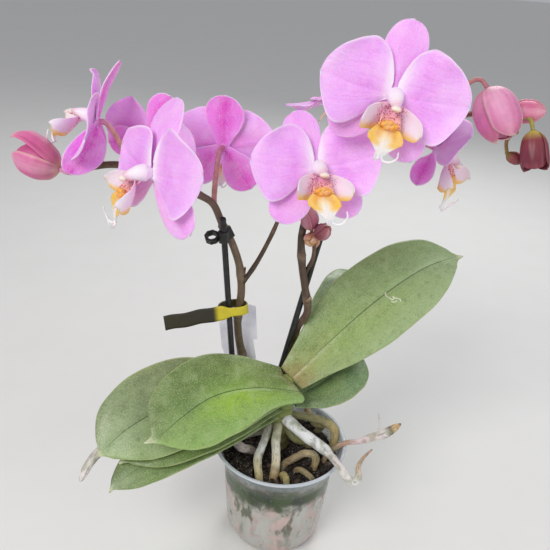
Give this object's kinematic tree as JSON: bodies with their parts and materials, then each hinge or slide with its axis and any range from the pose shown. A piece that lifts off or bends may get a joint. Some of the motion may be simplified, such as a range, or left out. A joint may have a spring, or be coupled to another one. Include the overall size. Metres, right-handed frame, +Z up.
{
  "type": "potted moth orchid",
  "caption": "Moth orchid in a clear nursery pot with bark and aerial roots: arching leaves, staked flower spikes, pink-white blooms and buds.",
  "frame": {"origin": "middle of the pot's flat base", "axes": "+Z up along the pot's axis, -Y towards the plant's front, +X towards its right as the viewer sees it"},
  "size_m": [0.301, 0.1726, 0.3445],
  "materials": {
    "clear_pot": "translucent, slightly dirty clear plastic",
    "bark": "damp dark bark",
    "stem": "fleshy, satin",
    "stake": "satin dark plastic",
    "silver_root": "velvety silver-grey",
    "tan_root": "dry, tan to green",
    "leaf": "thick waxy leaf, satin",
    "young_leaf": "thick waxy leaf, satin",
    "spike": "smooth brown-green flower stem",
    "tepal": "soft, faintly sparkling petal",
    "tepal_back": "soft petal, seen from its back",
    "lip": "waxy white with yellow margins",
    "bud": "waxy bud",
    "dark_bud": "waxy bud",
    "clip": "dark plastic",
    "strap": "printed strip with a yellow end",
    "tag": "plain white label"
  },
  "bodies": {
    "root": {"pot": "clear_pot", "bark_medium": "bark", "stem_base": "stem", "stake_left": "stake", "stake_right": "stake", "root_silver": "silver_root", "root_front": "silver_root", "root_front_left": "silver_root", "root_left": "silver_root", "root_green": "tan_root", "root_curly": "tan_root", "root_loop": "tan_root", "root_stub": "tan_root", "root_back_right": "tan_root", "root_right": "tan_root", "root_free_right": "silver_root", "root_far_left": "silver_root", "leaf_front_left": "young_leaf", "leaf_far_left": "leaf", "leaf_middle_left": "leaf", "leaf_low_left": "leaf", "leaf_right": "leaf", "leaf_back": "leaf", "leaf_low_right": "leaf", "spike_left": "spike", "spike_right": "spike", "bloom_top_right_tepals": "tepal", "bloom_top_right_lip": "lip", "bloom_centre_tepals": "tepal", "bloom_centre_lip": "lip", "bloom_front_left_tepals": "tepal", "bloom_front_left_lip": "lip", "bloom_far_left_tepals": "tepal", "bloom_far_left_lip": "lip", "bloom_back_left_tepals": "tepal_back", "bloom_back_left_lip": "lip", "bloom_back_centre_tepals": "tepal_back", "bloom_back_centre_lip": "lip", "bloom_right_tepals": "tepal", "bloom_right_lip": "lip", "bloom_hidden_tepals": "tepal_back", "bloom_hidden_lip": "lip", "bud_left": "bud", "bud_right_large": "bud", "bud_right_back": "bud", "bud_right_dark": "dark_bud", "bud_right_small": "dark_bud", "bud_twig_upper": "dark_bud", "bud_twig_right": "dark_bud", "bud_twig_lower": "dark_bud", "spike_clip": "clip", "label_strap": "strap", "plant_tag": "tag"}
  },
  "joints": []
}
